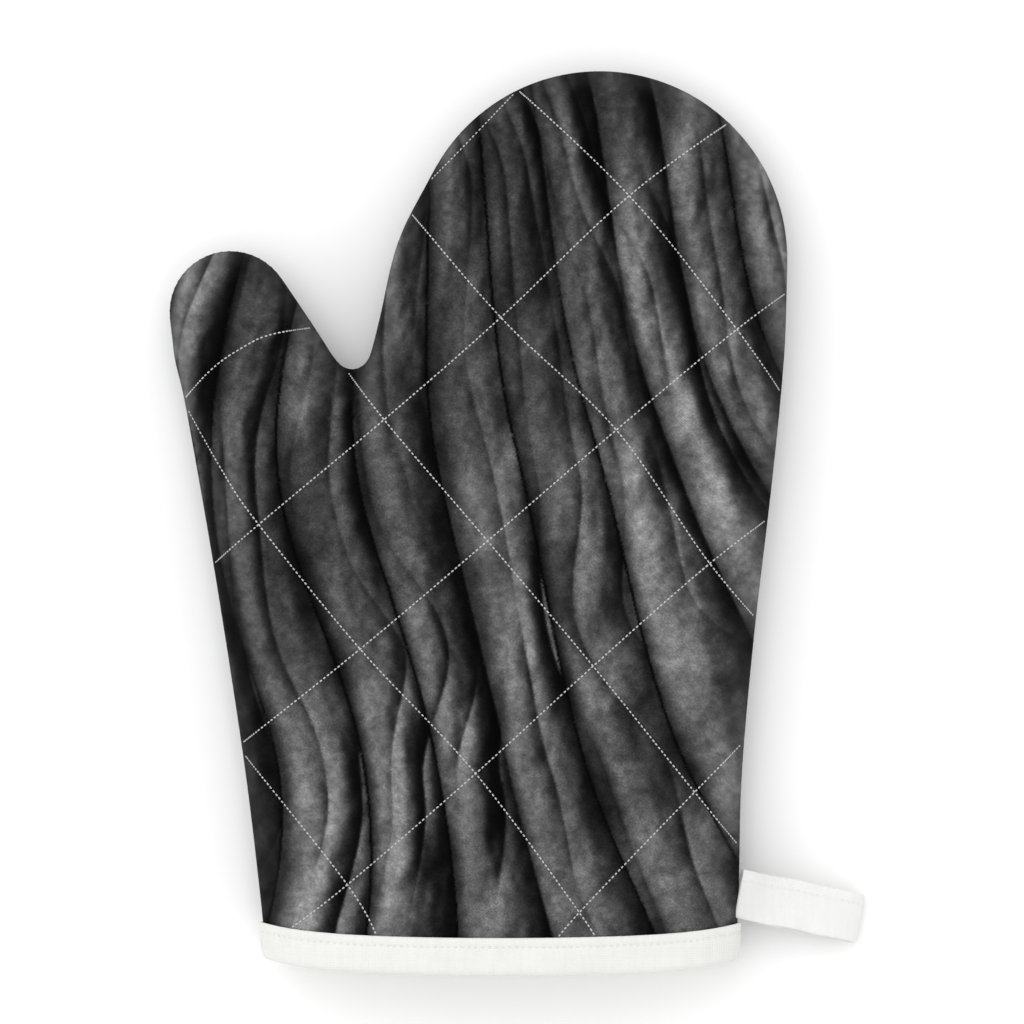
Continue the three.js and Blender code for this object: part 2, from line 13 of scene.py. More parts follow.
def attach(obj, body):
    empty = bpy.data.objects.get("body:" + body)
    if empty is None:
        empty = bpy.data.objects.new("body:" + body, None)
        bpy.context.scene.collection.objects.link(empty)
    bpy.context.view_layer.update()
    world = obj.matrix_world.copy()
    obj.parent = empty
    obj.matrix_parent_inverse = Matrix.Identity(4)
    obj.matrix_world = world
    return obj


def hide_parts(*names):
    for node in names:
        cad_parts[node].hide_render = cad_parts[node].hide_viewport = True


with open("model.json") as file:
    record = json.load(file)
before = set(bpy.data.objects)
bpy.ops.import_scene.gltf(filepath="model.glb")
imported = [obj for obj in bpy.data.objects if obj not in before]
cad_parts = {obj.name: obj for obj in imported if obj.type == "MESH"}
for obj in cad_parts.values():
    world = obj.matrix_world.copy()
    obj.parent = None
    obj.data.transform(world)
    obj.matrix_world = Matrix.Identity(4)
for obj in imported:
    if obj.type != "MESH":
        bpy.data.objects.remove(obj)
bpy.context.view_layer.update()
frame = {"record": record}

MM = 0.001
RNG = np.random.default_rng(7)

# --- measures, in millimetres ---------------------------------------------------------------

SEAM_Z = 16.0
FRONT_RISE = 18.0
RIM = 18.0
CROWN = 6.0
CROWN_DEPTH = 58.0
CINCH = 2.4
BAND = 12.2
CINCH_END = 36.0
CUFF_RISE = 4.6
CUFF_HALF_WIDTH = 74.0
BINDING_WIDTH = 11.5
OUTER_DEPTHS = (0.15, 1.75)  # the outer fabric's two faces, inwards from the outer face
WADDING_DEPTHS = (2.6, 5.0)
LINING_DEPTHS = (5.5, 6.2)
GROOVE = 1.5  # how far a row pulls the front face down
GROOVE_REACH = 12.7
SWELL_PRESSURE = 2.2
SWELL_LIMIT = 2.4
ROW_ABOVE_CUFF = 10.2  # the quilting stops this far above the raw edge, under the tape
STITCH_PITCH = 1.45
STITCH_LENGTH = 0.98
STITCH_RADIUS = 0.25
TAPE_DEPTHS = (-1.0, 7.2)  # the binding's outer and inner legs
TOPSTITCH_FROM_EDGE = 2.6
LOOP_SKEW = -11.4  # degrees from +X, in plan
LOOP_DROOP = 19.3  # degrees down from the seam
LOOP_HALF_WIDTH = 7.65
LOOP_SPACING = 0.55
VIEW_DISTANCE = 6.0  # metres, far enough for the view to be nearly parallel
FRAME_WIDTH = 0.3185

# The plan's measures are given about a point of their own, which the record's hinge places.
HINGE = next(j for j in frame["record"]["behaviour"]["joints"] if j["name"] == "loop_swing")
ROOT = np.array(HINGE["pos_m"]) / MM
SHIFT = ROOT[:2] - (70.626, -115.4)


def moved(points):
    """Plan points, as (x, y) or (x, y, radius), in the row frame."""
    return [(p[0] + SHIFT[0], p[1] + SHIFT[1], *p[2:]) for p in points]


FINGERTIP, THUMB_TIP, CROTCH = moved([(26.3, 82.3, 58.6), (-88.5, 65.8, 19.2), (-50.6, 53.2, 5.6)])
THUMB_SIDE = moved([(-79.8, -112), (-84.6, -73), (-93.4, -16), (-102.5, 36), (-105.9, 50.6)])
THUMB_WEB = moved([(-62.9, 62.1)])
FINGER_SIDE = moved([(-42.2, 64), (-36.4, 88)])
LOOP_SIDE = moved([(83.8, 51), (80, 12), (74.6, -34), (70.7, -78), (69.8, -112)])

RISING_ROWS = [
    [(9, -134), (20, -120.5), (55.7, -83.3), (78, -61)],
    [(-72, -127.5), (-52, -112), (-12.2, -77.5), (24.2, -44.2), (60.4, -12.4), (86, 7)],
    [(-92, -74), (-48, -38.9), (-8.5, -5.4), (31.4, 29), (68.8, 60.2), (96, 80)],
    [(-102, -20), (-79.5, -0.3), (-40.6, 32.2), (-4.4, 63.9), (35.4, 101.6), (74, 130)],
    [(-33, 100), (-16, 117), (2, 136)],
    [(-107, 34), (-94.5, 47.5), (-84.8, 54.4), (-75.3, 58.7), (-56, 62)],
]
FALLING_ROWS = [
    [(-92, -62), (-52, -112), (-40, -134)],
    [(-107, 45), (-91.2, 17), (-79.5, -0.3), (-48, -38.9), (-12.2, -77.5), (19.9, -120.5), (28, -134)],
    [(-60, 58), (-40.6, 32.2), (-8.5, -5.4), (24.2, -44.2), (55.7, -83.3), (80, -113)],
    [(-42, 108), (-4.4, 63.9), (31.4, 29), (60.4, -12.4), (86, -42)],
    [(-9, 144), (35.4, 101.6), (68.8, 60.2), (94, 24)],
]


def smooth(t):
    t = np.clip(t, 0.0, 1.0)
    return t * t * (3 - 2 * t)


def spline(points, spacing=1.0):
    """A smooth line through points, sampled evenly."""
    p = np.asarray(points, float)
    p = np.vstack([2 * p[0] - p[1], p, 2 * p[-1] - p[-2]])
    out = []
    for a, b, c, d in zip(p, p[1:], p[2:], p[3:]):
        t = np.linspace(0, 1, 60, endpoint=False)[:, None]
        bend = (2 * a - 5 * b + 4 * c - d) * t**2 + (3 * b - a - 3 * c + d) * t**3
        out.append(0.5 * (2 * b + (c - a) * t + bend))
    return even(np.vstack([*out, p[-2]]), spacing)


def even(line, spacing):
    """A polyline resampled at an even spacing."""
    s = np.r_[0, np.cumsum(np.linalg.norm(np.diff(line, axis=0), axis=1))]
    n = max(2, int(round(s[-1] / spacing)) + 1)
    at = np.linspace(0, s[-1], n)
    return np.column_stack([np.interp(at, s, line[:, k]) for k in range(line.shape[1])])


def arc(circle, start, end, n=60):
    x, y, r = circle
    a = np.radians(np.linspace(start, end, n))
    return np.column_stack([x + r * np.cos(a), y + r * np.sin(a)])


def cuff_edge(x):
    """The y of the raw edge of the cuff."""
    middle, low = moved([(-4.0, -138.8)])[0]
    t = np.abs(np.asarray(x) - middle) / CUFF_HALF_WIDTH
    return low + CUFF_RISE * (0.45 * t**2 + 0.55 * t**6)


def corner(point, slope):
    """Where a side of the outline, carried on from a point at a slope, meets the raw edge."""
    x, y = point
    low = float(cuff_edge(x))
    return (x + slope * (y - low), low)


def tangents(line):
    """Unit directions along a line."""
    t = np.gradient(line, axis=0)
    return t / np.linalg.norm(t, axis=1)[:, None]


def edge_normals(line):
    """Unit directions to the right of a line in plan, which is inwards on the outline."""
    t = tangents(line)
    return np.column_stack([t[:, 1], -t[:, 0]])


def make_outline():
    """The sewn outline from the thumb side of the cuff to the loop side, and its inward normals."""
    thumb, crotch, tip = arc(THUMB_TIP, 195, 30), arc(CROTCH, 215, 345), arc(FINGERTIP, 152, -2)
    line = np.vstack([
        spline([corner(THUMB_SIDE[0], 0.1), *THUMB_SIDE, thumb[0]])[:-1],
        thumb,
        spline([thumb[-1], *THUMB_WEB, crotch[0]])[1:-1],
        crotch,
        spline([crotch[-1], *FINGER_SIDE, tip[0]])[1:-1],
        tip,
        spline([tip[-1], *LOOP_SIDE, corner(LOOP_SIDE[-1], -0.04)])[1:],
    ])
    line = even(line, 1.0)
    return line, edge_normals(line)


EDGE, EDGE_NORMAL = make_outline()
ROWS = [spline(moved(row)) for row in RISING_ROWS + FALLING_ROWS]


def inside(q, polygon):
    """Which points lie within a closed polygon."""
    within = np.zeros(len(q), bool)
    b = np.roll(polygon, -1, axis=0)
    for (ax, ay), (bx, by) in zip(polygon, b):
        if ay == by:
            continue
        cross = ((ay > q[:, 1]) != (by > q[:, 1])) & (q[:, 0] < ax + (bx - ax) * (q[:, 1] - ay) / (by - ay))
        within ^= cross
    return within


def nearest(q, line):
    """Distance from each point to a polyline's points, and the index of the nearest."""
    best, at = np.full(len(q), 1e9), np.zeros(len(q), int)
    for i in range(0, len(q), 4000):
        d = ((q[i : i + 4000, None, :] - line[None]) ** 2).sum(-1)
        k = d.argmin(1)
        at[i : i + 4000], best[i : i + 4000] = k, np.sqrt(d[np.arange(len(k)), k])
    return best, at


def edge_frame(q):
    """Distance inside the outline and the inward direction, with the sides carried on past the cuff."""
    a, b = EDGE[0] - EDGE[1], EDGE[-1] - EDGE[-2]
    far = np.arange(60, 0, -1)[:, None]
    line = np.vstack([EDGE[0] + a * far, EDGE, EDGE[-1] + b * far[::-1]])
    normal = np.vstack([np.repeat(EDGE_NORMAL[:1], 60, 0), EDGE_NORMAL, np.repeat(EDGE_NORMAL[-1:], 60, 0)])
    _, k = nearest(q, line)
    n = normal[k]
    d = ((q - line[k]) * n).sum(1)
    return np.maximum(d, 0.0), n


def row_distance(q):
    """Distance from each point to the nearest quilting row."""
    return nearest(q, np.vstack(ROWS))[0]


def place(q, d, n, depth, side):
    """Plan points raised to the surface at a depth on the front (1) or the back (-1)."""
    cos = np.maximum(0.0, 1 - d / RIM)
    sin = np.sqrt(1 - cos**2)
    xy = q + (depth * cos)[:, None] * n
    free = smooth((q[:, 1] - cuff_edge(q[:, 0]) - BAND) / (CINCH_END - BAND))
    if side < 0:
        rise = SEAM_Z - depth - CINCH * (1 - free)
        return np.column_stack([xy, SEAM_Z - rise * sin])
    rise = FRONT_RISE - depth - CINCH * (1 - free) + CROWN * smooth(d / CROWN_DEPTH)
    near = 1 - smooth(row_distance(q) / GROOVE_REACH)
    rise = rise - GROOVE * free * smooth((d - RIM) / 6) * near * (1 - 0.6 * depth / LINING_DEPTHS[1])
    return np.column_stack([xy, SEAM_Z + rise * sin])


# --- meshes ---------------------------------------------------------------------------------

def make_object(name, points, faces, body="mitt", material=None):
    """A mesh object from points in millimetres, riding on a body."""
    mesh = bpy.data.meshes.new(name)
    mesh.from_pydata((np.asarray(points) * MM).tolist(), [], [list(map(int, f)) for f in faces])
    mesh.validate()
    mesh.shade_smooth()
    obj = bpy.data.objects.new(name, mesh)
    bpy.context.collection.objects.link(obj)
    if material:
        mesh.materials.append(material)
    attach(obj, body)
    return obj


def coords(mesh):
    v = np.empty(len(mesh.vertices) * 3)
    mesh.vertices.foreach_get("co", v)
    return v.reshape(-1, 3) / MM


def plan_mesh(spacing, low=2.0, rings=(1.0, 2.6, 5.0, 8.5, 13.0)):
    """A triangle mesh of the mitt in plan: points, triangles, distances and directions to the outline."""
    whole = even(EDGE, spacing * 0.8)
    cut = cuff_edge(whole[:, 0]) + low
    edge = whole[whole[:, 1] > cut]
    xs = np.linspace(edge[0, 0], edge[-1, 0], int(150 / spacing))[1:-1]
    cuff = np.column_stack([xs, cuff_edge(xs) + low])[::-1]
    start = [np.array([[edge[0, 0], float(cuff_edge(edge[0, 0])) + low]])]
    border = np.vstack([edge, [[edge[-1, 0], float(cuff_edge(edge[-1, 0])) + low]], cuff, *start])
    keep = [border]
    whole_n = edge_normals(whole)
    for r in rings:
        ring = whole + whole_n * r
        d, _ = edge_frame(ring)
        good = (d > r - 0.3) & (ring[:, 1] > cuff_edge(ring[:, 0]) + low + 1)
        keep.append(thin(ring[good], keep, spacing * 0.5))
    for row in ROWS:
        line = even(row, spacing * 0.8)
        d, _ = edge_frame(line)
        good = inside(line, border) & (d > 14) & (line[:, 1] > cuff_edge(line[:, 0]) + low + 2)
        keep.append(thin(line[good], keep[-3:], spacing * 0.4))
    h = spacing * 0.87
    gx, gy = np.meshgrid(np.arange(-110, 92, spacing), np.arange(-142, 142, h))
    gx = gx + (np.arange(gx.shape[0]) % 2)[:, None] * spacing / 2
    grid = np.column_stack([gx.ravel(), gy.ravel()])
    grid = grid[inside(grid, border)]
    d, _ = edge_frame(grid)
    grid = grid[(d > rings[-1] + spacing * 0.6) & (grid[:, 1] > cuff_edge(grid[:, 0]) + low + spacing * 0.6)]
    keep.append(thin(grid, keep, spacing * 0.55))
    points = np.vstack(keep)
    n = len(border)
    edges = [(i, (i + 1) % n) for i in range(n)]
    made, _, faces, *_ = delaunay_2d_cdt([Vector(p) for p in points], edges, [list(range(n))], 1, 1e-5)
    q = np.array([tuple(v) for v in made])
    d, normal = edge_frame(q)
    return q, [tuple(f) for f in faces], d, normal


def thin(points, kept, gap):
    """The points that are clear of those already kept and of each other."""
    if not len(points):
        return points.reshape(0, 2)
    others = np.vstack(kept)
    points = points[nearest(points, others)[0] > gap]
    out = []
    for p in points:
        if not out or min(np.hypot(*(np.array(out[-40:]) - p).T)) > gap:
            out.append(p)
    return np.array(out).reshape(-1, 2)


class Finder:
    """Nearest of a set of plan points, for large queries."""

    def __init__(self, points):
        self.tree = KDTree(len(points))
        for i, p in enumerate(points):
            self.tree.insert((p[0], p[1], 0.0), i)
        self.tree.balance()

    def __call__(self, q):
        found = [self.tree.find((x, y, 0.0)) for x, y in q[:, :2]]
        return np.array([f[2] for f in found]), np.array([f[1] for f in found])


def noise2(x, y, seed=0):
    """Smooth value noise from 0 to 1 on a plane."""
    x, y = np.asarray(x, float), np.asarray(y, float)
    ix, iy = np.floor(x).astype(np.int64), np.floor(y).astype(np.int64)
    fx, fy = smooth(x - ix), smooth(y - iy)

    def value(i, j):
        h = (i * 374761393 + j * 668265263 + seed * 1274126177) & 0xFFFFFFFF
        h = ((h ^ (h >> 13)) * 1103515245) & 0xFFFFFFFF
        return ((h ^ (h >> 16)) & 0xFFFF) / 65535.0

    low = value(ix, iy) * (1 - fx) + value(ix + 1, iy) * fx
    high = value(ix, iy + 1) * (1 - fx) + value(ix + 1, iy + 1) * fx
    return low * (1 - fy) + high * fy


def cloudy(x, y, seed=0, octaves=3):
    total, weight = 0.0, 0.0
    for k in range(octaves):
        total = total + noise2(x * 2**k, y * 2**k, seed + 31 * k) * 0.5**k
        weight += 0.5**k
    return total / weight


def apply_modifiers(obj):
    dg = bpy.context.evaluated_depsgraph_get()
    mesh = bpy.data.meshes.new_from_object(obj.evaluated_get(dg), depsgraph=dg)
    old = obj.data
    obj.modifiers.clear()
    obj.data = mesh
    bpy.data.meshes.remove(old)


def inflate(points, faces, pinned, pressure, cap):
    """The points after a short cloth simulation under pressure, held where they are pinned."""
    obj = make_object("inflating", points, faces)
    group = obj.vertex_groups.new(name="pin")
    group.add(np.flatnonzero(pinned).tolist(), 1.0, "REPLACE")
    cloth = obj.modifiers.new("cloth", "CLOTH")
    s = cloth.settings
    s.quality = 6
    s.mass = 0.25
    s.use_pressure = True
    s.uniform_pressure_force = pressure
    s.tension_stiffness = s.compression_stiffness = 18
    s.shear_stiffness = 8
    s.bending_stiffness = 2.0
    s.shrink_min = -0.03
    s.vertex_group_mass = "pin"
    s.effector_weights.gravity = 0
    cloth.collision_settings.use_collision = False
    cloth.point_cache.frame_start, cloth.point_cache.frame_end = 1, 20
    scene = bpy.context.scene
    for k in range(1, 21):
        scene.frame_set(k)
    apply_modifiers(obj)
    swelling = coords(obj.data) - points
    mesh = obj.data
    bpy.data.objects.remove(obj)
    bpy.data.meshes.remove(mesh)
    scene.frame_set(1)
    size = np.linalg.norm(swelling, axis=1)[:, None]
    return points + swelling * np.minimum(1.0, cap / np.maximum(size, 1e-9))


def subdivided(points, faces, levels):
    """A finer, smoother mesh from a coarse one: points and faces."""
    obj = make_object("subdividing", points, faces)
    obj.modifiers.new("fine", "SUBSURF").levels = levels
    apply_modifiers(obj)
    mesh = obj.data
    v = coords(mesh)
    normals = np.empty(len(v) * 3)
    mesh.vertex_normals.foreach_get("vector", normals)
    loops = np.empty(len(mesh.loops), np.int64)
    mesh.loops.foreach_get("vertex_index", loops)
    bpy.data.objects.remove(obj)
    bpy.data.meshes.remove(mesh)
    return v, loops.reshape(-1, 4), normals.reshape(-1, 3)


def border_loop(faces):
    """The open border of a quad mesh, as vertex numbers in order."""
    a = faces.ravel()
    b = np.roll(faces, -1, axis=1).ravel()
    there = set(zip(a.tolist(), b.tolist()))
    after = {i: j for i, j in there if (j, i) not in there}
    start = next(iter(after))
    loop = [start]
    while after[loop[-1]] != start:
        loop.append(after[loop[-1]])
    return loop


def joined(outer, outer_faces, inner, inner_faces):
    """One closed piece from a fine outer face, an inner one half as fine and the wall between them."""
    loop, under = border_loop(outer_faces), border_loop(inner_faces)
    start = np.linalg.norm(outer[loop] - inner[under[0]], axis=1).argmin()
    for shift in (start, start - 1, start + 1):
        turned = loop[shift:] + loop[:shift]
        gap = np.linalg.norm(outer[turned[::2]] - inner[under], axis=1).mean()
        if shift == start or gap < best:
            best, loop_out = gap, turned
    base, n, wall = len(outer), len(under), []
    for i in range(n):
        a, b, c = loop_out[2 * i], loop_out[2 * i + 1], loop_out[(2 * i + 2) % (2 * n)]
        low, high = base + under[i], base + under[(i + 1) % n]
        wall += [(b, a, low), (c, b, high), (b, low, high)]
    points = np.vstack([outer, inner])
    return points, [*outer_faces.tolist(), *(base + inner_faces[:, ::-1]).tolist(), *wall]


def outer_panel(name, side, material):
    """The printed outer fabric of one half, quilted and filled out."""
    q, faces, d, n = plan_mesh(5.4)
    shapes = [place(q, d, n, depth, side) for depth in OUTER_DEPTHS]
    for shape in shapes:
        if side < 0:
            shape[:, 2] += 1.3 * (1 - smooth(row_distance(q) / 7)) * smooth((d - 12) / 8)
        shape[:, 2] = np.where(d < 0.4, SEAM_Z + 0.12 * side, shape[:, 2])
    if side < 0:
        faces = [f[::-1] for f in faces]
    else:
        cuff = q[:, 1] < cuff_edge(q[:, 0]) + 14
        pinned = (row_distance(q) < 0.8) & (d > 12) | (d < 3.0) | cuff
        swell = inflate(shapes[0], faces, pinned, SWELL_PRESSURE, SWELL_LIMIT) - shapes[0]
        swell *= smooth((swell[:, 2:] + SWELL_LIMIT) / SWELL_LIMIT)
        swell[:, 2] = np.maximum(swell[:, 2], -0.5)
        shapes = [shape + swell for shape in shapes]
    levels = 3
    v, quads, normal = subdivided(shapes[0], faces, levels)
    under, under_quads, under_normal = subdivided(shapes[1], faces, levels - 1)
    v = detailed(v, normal, side)
    under = detailed(under, under_normal, side, 1.6)
    points, all_faces = joined(v, quads, under, under_quads)
    obj = make_object(name, points, all_faces, material=material)
    ink = np.full(len(points), 0.03)
    ink[: len(v)] = print_ink(v[:, 0], v[:, 1]) if side > 0 else plain_ink(v[:, 0], v[:, 1])
    attribute = obj.data.attributes.new("ink", "FLOAT", "POINT")
    attribute.data.foreach_set("value", ink.astype(np.float32))
    return obj, BVHTree.FromPolygons((v * MM).tolist(), quads.tolist())


def detailed(v, normal, side, lowest=0.05):
    """Puckers along the rows, gathers along the seam and soft creases between them."""
    row, _ = Finder(np.vstack(ROWS))(v)
    edge, along = Finder(EDGE)(v)
    x, y = v[:, 0], v[:, 1]
    free = smooth((y - cuff_edge(x) - 12) / 8) * smooth((edge - 0.4) / 2.5)
    sink = 0.62 * np.exp(-((row / 1.15) ** 2)) * smooth((edge - 1) / 4)
    pucker = (noise2(x / 2.9, y / 2.9, 5) - 0.5) * 0.62 * np.exp(-((row - 2.2) / 2.6) ** 2)
    soft = (cloudy(x / 17, y / 17, 9, 2) - 0.5) * 1.0 + (noise2(x / 5.5, y / 5.5, 12) - 0.5) * 0.22
    gather = (noise2(along / 5.2, along * 0, 21) - 0.5) * 0.9 * np.exp(-edge / 6.0)
    lift = free * (pucker + soft + gather) - sink * smooth((y - cuff_edge(x) - 11) / 3)
    if side < 0:
        lift = np.where(normal[:, 2] < -0.95, np.minimum(lift, 0.0) - 0.05, lift)
    shaped = v + normal * lift[:, None]
    if side < 0:
        shaped[:, 2] = np.maximum(shaped[:, 2], lowest)
    return shaped


# --- the print: plain grey cloth hanging in folds over the whole mitt ------------------------

INK_STEP = 0.34
INK_LOW = np.array([-112.0, -144.0])
INK_SIZE = (624, 860)
HUNG_FROM = (-70.0, 420.0)  # the point that the printed cloth hangs from, far above the mitt
FOLD_ANGLE = 0.060
FOLD_HEIGHT = 7.0
INK_LIGHT = (-0.62, 0.30, 0.72)


def ridge(t):
    """Rounded crests one unit apart, with a sharp crease between them."""
    return 1 - (2 * np.abs(t % 1 - 0.5)) ** 2.0


def by_fold(t, along, seed):
    """A number from 0 to 1 that belongs to one fold and changes slowly down its length."""
    return noise2(np.floor(t) * 7.3 + 0.5, along, seed)


def hanging_folds(x, y):
    """Height of the printed cloth, and how much its lapped folds shade their neighbours."""
    across, down = x - HUNG_FROM[0], HUNG_FROM[1] - y
    along = np.hypot(across, down) / 110
    turn = np.arctan2(across, down) / FOLD_ANGLE
    sway = 1.5 * (noise2(turn * 0.28, along * 1.1, 21) - 0.5) + 0.30 * np.sin(2.1 * along + 0.7)
    t = turn + sway
    fine = 1.9 * t + 2.4 * noise2(turn * 0.6, along * 2.4, 23)
    crumple = cloudy(t * 1.6 - along * 3.0, along * 5.0 + t * 1.1, 27, 3) - 0.5
    tall = 0.35 + 0.65 * by_fold(t, along * 0.9, 31)
    lapping = smooth(2.2 * (by_fold(t, along * 0.7, 37) - 0.35))
    before = smooth(2.2 * (by_fold(t - 1, along * 0.7, 37) - 0.35))
    height = tall * ridge(t) + 0.55 * lapping * (t % 1) ** 1.5
    height = height + 0.26 * ridge(fine) * smooth(1.8 * by_fold(fine, along * 2.2, 41) - 0.4) + 0.5 * crumple
    return height * FOLD_HEIGHT * along / 4, before * np.exp(-(t % 1) / 0.11)


def paint():
    """The print on a plan grid: the folds lit from the upper left, then the grain of the ink."""
    gx, gy = np.meshgrid(np.arange(INK_SIZE[0]), np.arange(INK_SIZE[1]), indexing="ij")
    x, y = gx * INK_STEP + INK_LOW[0], gy * INK_STEP + INK_LOW[1]
    height, shaded = hanging_folds(x, y)
    slope_x, slope_y = (np.clip(slope, -1.6, 1.6) for slope in np.gradient(height, INK_STEP))
    facing = INK_LIGHT[2] - slope_x * INK_LIGHT[0] - slope_y * INK_LIGHT[1]
    lit = np.clip(facing / np.sqrt(1 + slope_x**2 + slope_y**2), 0.0, 1.0)
    depth = smooth(height / (0.8 * FOLD_HEIGHT))
    ink = (0.045 + 0.43 * lit**1.7) * (0.5 + 0.65 * depth) * (1 - 0.6 * shaded)
    ink = ink * (0.55 + 0.85 * cloudy(x / 70, y / 85, 51, 3))
    grain = cloudy(x / 1.6, y / 1.6, 71, 2)
    mottle = cloudy(x / 6 + y / 15, y / 7, 75, 3)
    return np.clip(ink * (0.8 + 0.4 * grain) * (0.88 + 0.24 * mottle), 0.01, 0.9)


INK = None


def print_ink(x, y):
    """Grey of the print at plan points, from 0 to 1 as seen."""
    u = np.clip((x - INK_LOW[0]) / INK_STEP, 0, INK_SIZE[0] - 2)
    v = np.clip((y - INK_LOW[1]) / INK_STEP, 0, INK_SIZE[1] - 2)
    i, j = u.astype(int), v.astype(int)
    a, b = u - i, v - j
    low = INK[i, j] * (1 - a) + INK[i + 1, j] * a
    high = INK[i, j + 1] * (1 - a) + INK[i + 1, j + 1] * a
    return low * (1 - b) + high * b


def plain_ink(x, y):
    """Grey of the back, which is printed with the plain mottled ground alone."""
    return 0.21 * (0.84 + 0.34 * cloudy(x / 33, y / 33, 90, 4)) * (0.9 + 0.2 * cloudy(x / 3, y / 3, 94, 3))


# --- stitches -------------------------------------------------------------------------------

def stitch_template():
    """One stitch along +X with its ends dipping, and its faces."""
    rings, sides = 5, 6
    points, faces = [], []
    for i in range(rings):
        t = -1 + 2 * i / (rings - 1)
        r = STITCH_RADIUS * (0.55 if abs(t) > 0.99 else 1.0 if abs(t) < 0.6 else 0.95)
        for k in range(sides):
            a = 2 * math.pi * k / sides
            points.append((t * STITCH_LENGTH / 2, r * math.cos(a), 0.8 * r * math.sin(a) - 0.16 * t * t))
    for i in range(rings - 1):
        for k in range(sides):
            a, b = i * sides + k, i * sides + (k + 1) % sides
            faces.append((a, b, b + sides, a + sides))
    faces.append(tuple(range(sides))[::-1])
    faces.append(tuple(range((rings - 1) * sides, rings * sides)))
    return np.array(points), faces


TEMPLATE, TEMPLATE_FACES = stitch_template()


def stitches(name, path, normals, material, body="mitt", lift=0.05, pitch=STITCH_PITCH):
    """Stitches set at an even pitch along a path on a surface."""
    s = np.r_[0, np.cumsum(np.linalg.norm(np.diff(path, axis=0), axis=1))]
    at = np.arange(pitch * 0.7, s[-1] - pitch * 0.5, pitch)
    at = at + RNG.uniform(-0.05, 0.05, len(at))

    def along(values, where):
        return np.column_stack([np.interp(where, s, values[:, k]) for k in range(3)])

    p, n = along(path, at), along(normals, at)
    t = along(path, at + 0.4) - along(path, at - 0.4)
    t /= np.linalg.norm(t, axis=1)[:, None]
    side = np.cross(n, t)
    side /= np.linalg.norm(side, axis=1)[:, None]
    up = np.cross(t, side)
    yaw = RNG.normal(0, 0.045, len(at))[:, None]
    t, side = t * np.cos(yaw) + side * np.sin(yaw), side * np.cos(yaw) - t * np.sin(yaw)
    points, faces = [], []
    for i in range(len(at)):
        w = TEMPLATE * (1 + RNG.normal(0, 0.03))
        points.append(p[i] + up[i] * lift + w[:, :1] * t[i] + w[:, 1:2] * side[i] + w[:, 2:] * up[i])
        faces.extend(tuple(k + i * len(TEMPLATE) for k in f) for f in TEMPLATE_FACES)
    return make_object(name, np.vstack(points), faces, body, material)


def on_surface(tree, line, side):
    """A plan line dropped onto a surface: points and outward normals in millimetres."""
    points, normals = [], []
    for x, y in line:
        z = 0.06 if side > 0 else -0.02
        hit, normal, *_ = tree.ray_cast(Vector((x * MM, y * MM, z)), Vector((0, 0, -side)))
        if hit is None:
            continue
        points.append(np.array(hit) / MM)
        normals.append(np.array(normal) * (1 if normal[2] * side > 0 else -1))
    return np.array(points), np.array(normals)


def quilt(side, tree, material):
    """The rows of quilting stitches on one half."""
    word = "front" if side > 0 else "back"
    for i, row in enumerate(ROWS):
        fine = even(row, 0.3)
        d, _ = edge_frame(fine)
        sewn = inside(fine, EDGE) & (d > 0.7) & (fine[:, 1] > cuff_edge(fine[:, 0]) + ROW_ABOVE_CUFF)
        path, normals = on_surface(tree, fine[sewn], side)
        for k in range(3):
            normals[:, k] = np.convolve(np.pad(normals[:, k], 4, "edge"), np.ones(9) / 9, "valid")
        obj = stitches(f"{word}_quilting_{i + 1:02d}", path, normals, material)
        show(obj, "white_thread", f"{word}_quilting_row_{i + 1:02d}")


# --- cuff -----------------------------------------------------------------------------------

def side_x(above, last):
    """The x of a side of the outline at a distance above the raw edge."""
    e = EDGE[::-1][:60] if last else EDGE[:60]
    h = e[:, 1] - cuff_edge(e[:, 0])
    if above < h[0]:
        return e[0, 0] + (e[3, 0] - e[0, 0]) / (h[3] - h[0]) * (above - h[0])
    return np.interp(above, h, e[:, 0])


def mouth_stations(across=110, rim=16):
    """Stations round half the mouth, as (which part, how far along it)."""
    t = np.linspace(0, 1, rim)
    turn = 1 - np.cos(t * math.pi / 2)
    left = [("left", RIM * k) for k in turn]
    middle = [("middle", k) for k in np.linspace(0, 1, across)[1:-1]]
    right = [("right", RIM * k) for k in turn[::-1]]
    return left + middle + right


def cuff_ring(depths, above):
    """Points round the whole mouth at depths and heights, one of each for every station."""
    half = mouth_stations()
    xl, xr = side_x(above, False), side_x(above, True)
    across = {
        "left": lambda v: xl + v,
        "middle": lambda v: xl + RIM + v * (xr - xl - 2 * RIM),
        "right": lambda v: xr - v,
    }
    x = np.array([across[part](v) for part, v in half])
    d = np.minimum(x - xl, xr - x)
    q = np.column_stack([x, cuff_edge(x) + above])
    nl, nr = EDGE_NORMAL[0], EDGE_NORMAL[-1]
    n = np.where((x < 0)[:, None], nl, nr)
    m = len(q)
    front = place(q, d, n, np.asarray(depths)[:m], 1)
    back = place(q, d, n, np.asarray(depths)[: m - 1 : -1], -1)
    return np.vstack([front, back[::-1]])


